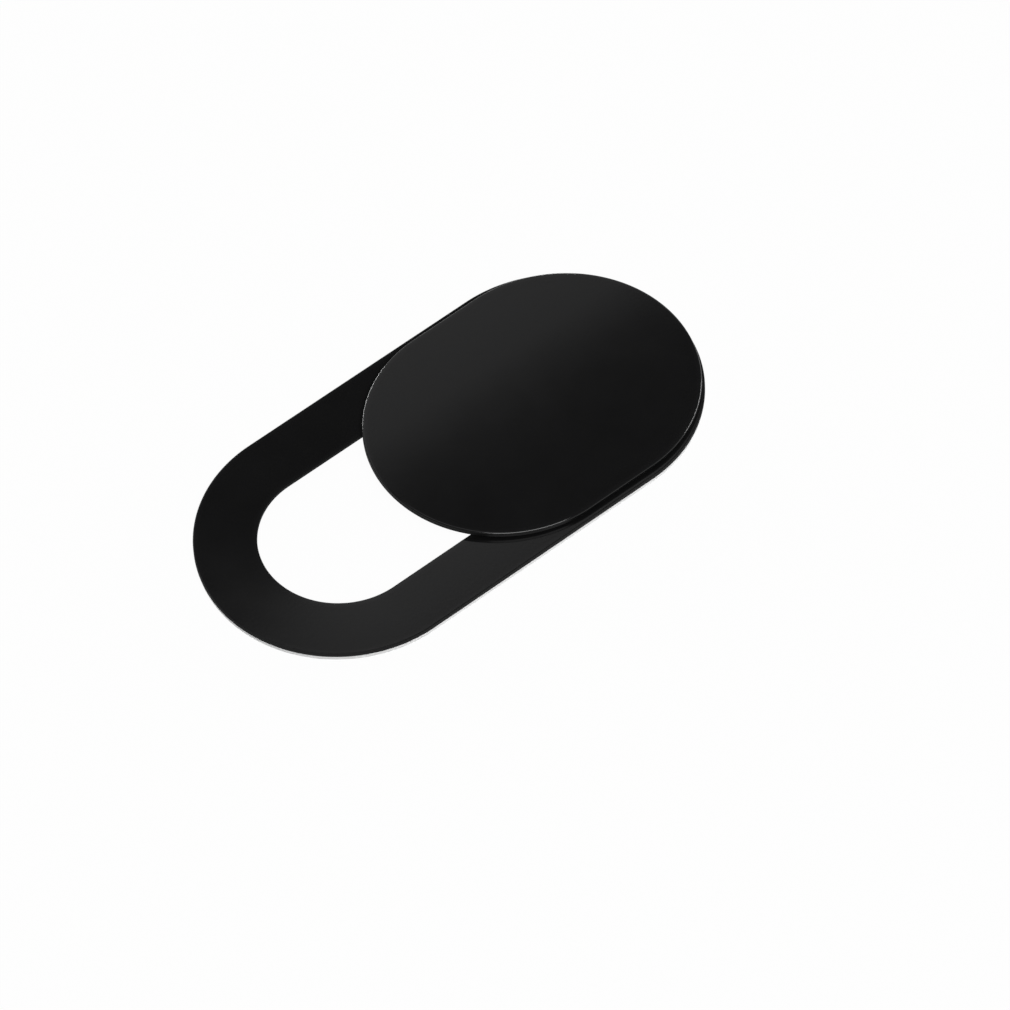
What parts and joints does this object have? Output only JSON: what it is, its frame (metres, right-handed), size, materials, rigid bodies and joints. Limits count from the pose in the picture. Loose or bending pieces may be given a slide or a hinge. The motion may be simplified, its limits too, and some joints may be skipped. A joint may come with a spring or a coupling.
{
  "type": "webcam cover slider",
  "caption": "Thin black webcam cover with round ends: a slotted stick-on frame and a domed shutter plate that slides along it to hide or free the lens.",
  "frame": {"origin": "on the tape's sticky underside, under the middle of the frame", "axes": "+X along the slot towards the end where the shutter is parked, +Y across the slot, +Z away from the screen that the tape sticks to"},
  "size_m": [0.018, 0.0092, 0.0006],
  "materials": {
    "black_plastic": "satin moulded black",
    "tape": "matte double-sided acrylic tape"
  },
  "bodies": {
    "frame": {"base_frame": "black_plastic", "adhesive_ring": "tape"},
    "shutter": {"shutter_plate": "black_plastic", "retainer_plate": "black_plastic"}
  },
  "joints": [
    {"name": "shutter_slide", "type": "slide", "parent": "frame", "child": "shutter", "axis": [1, 0, 0], "range_m": [-0.00665, 0]}
  ]
}
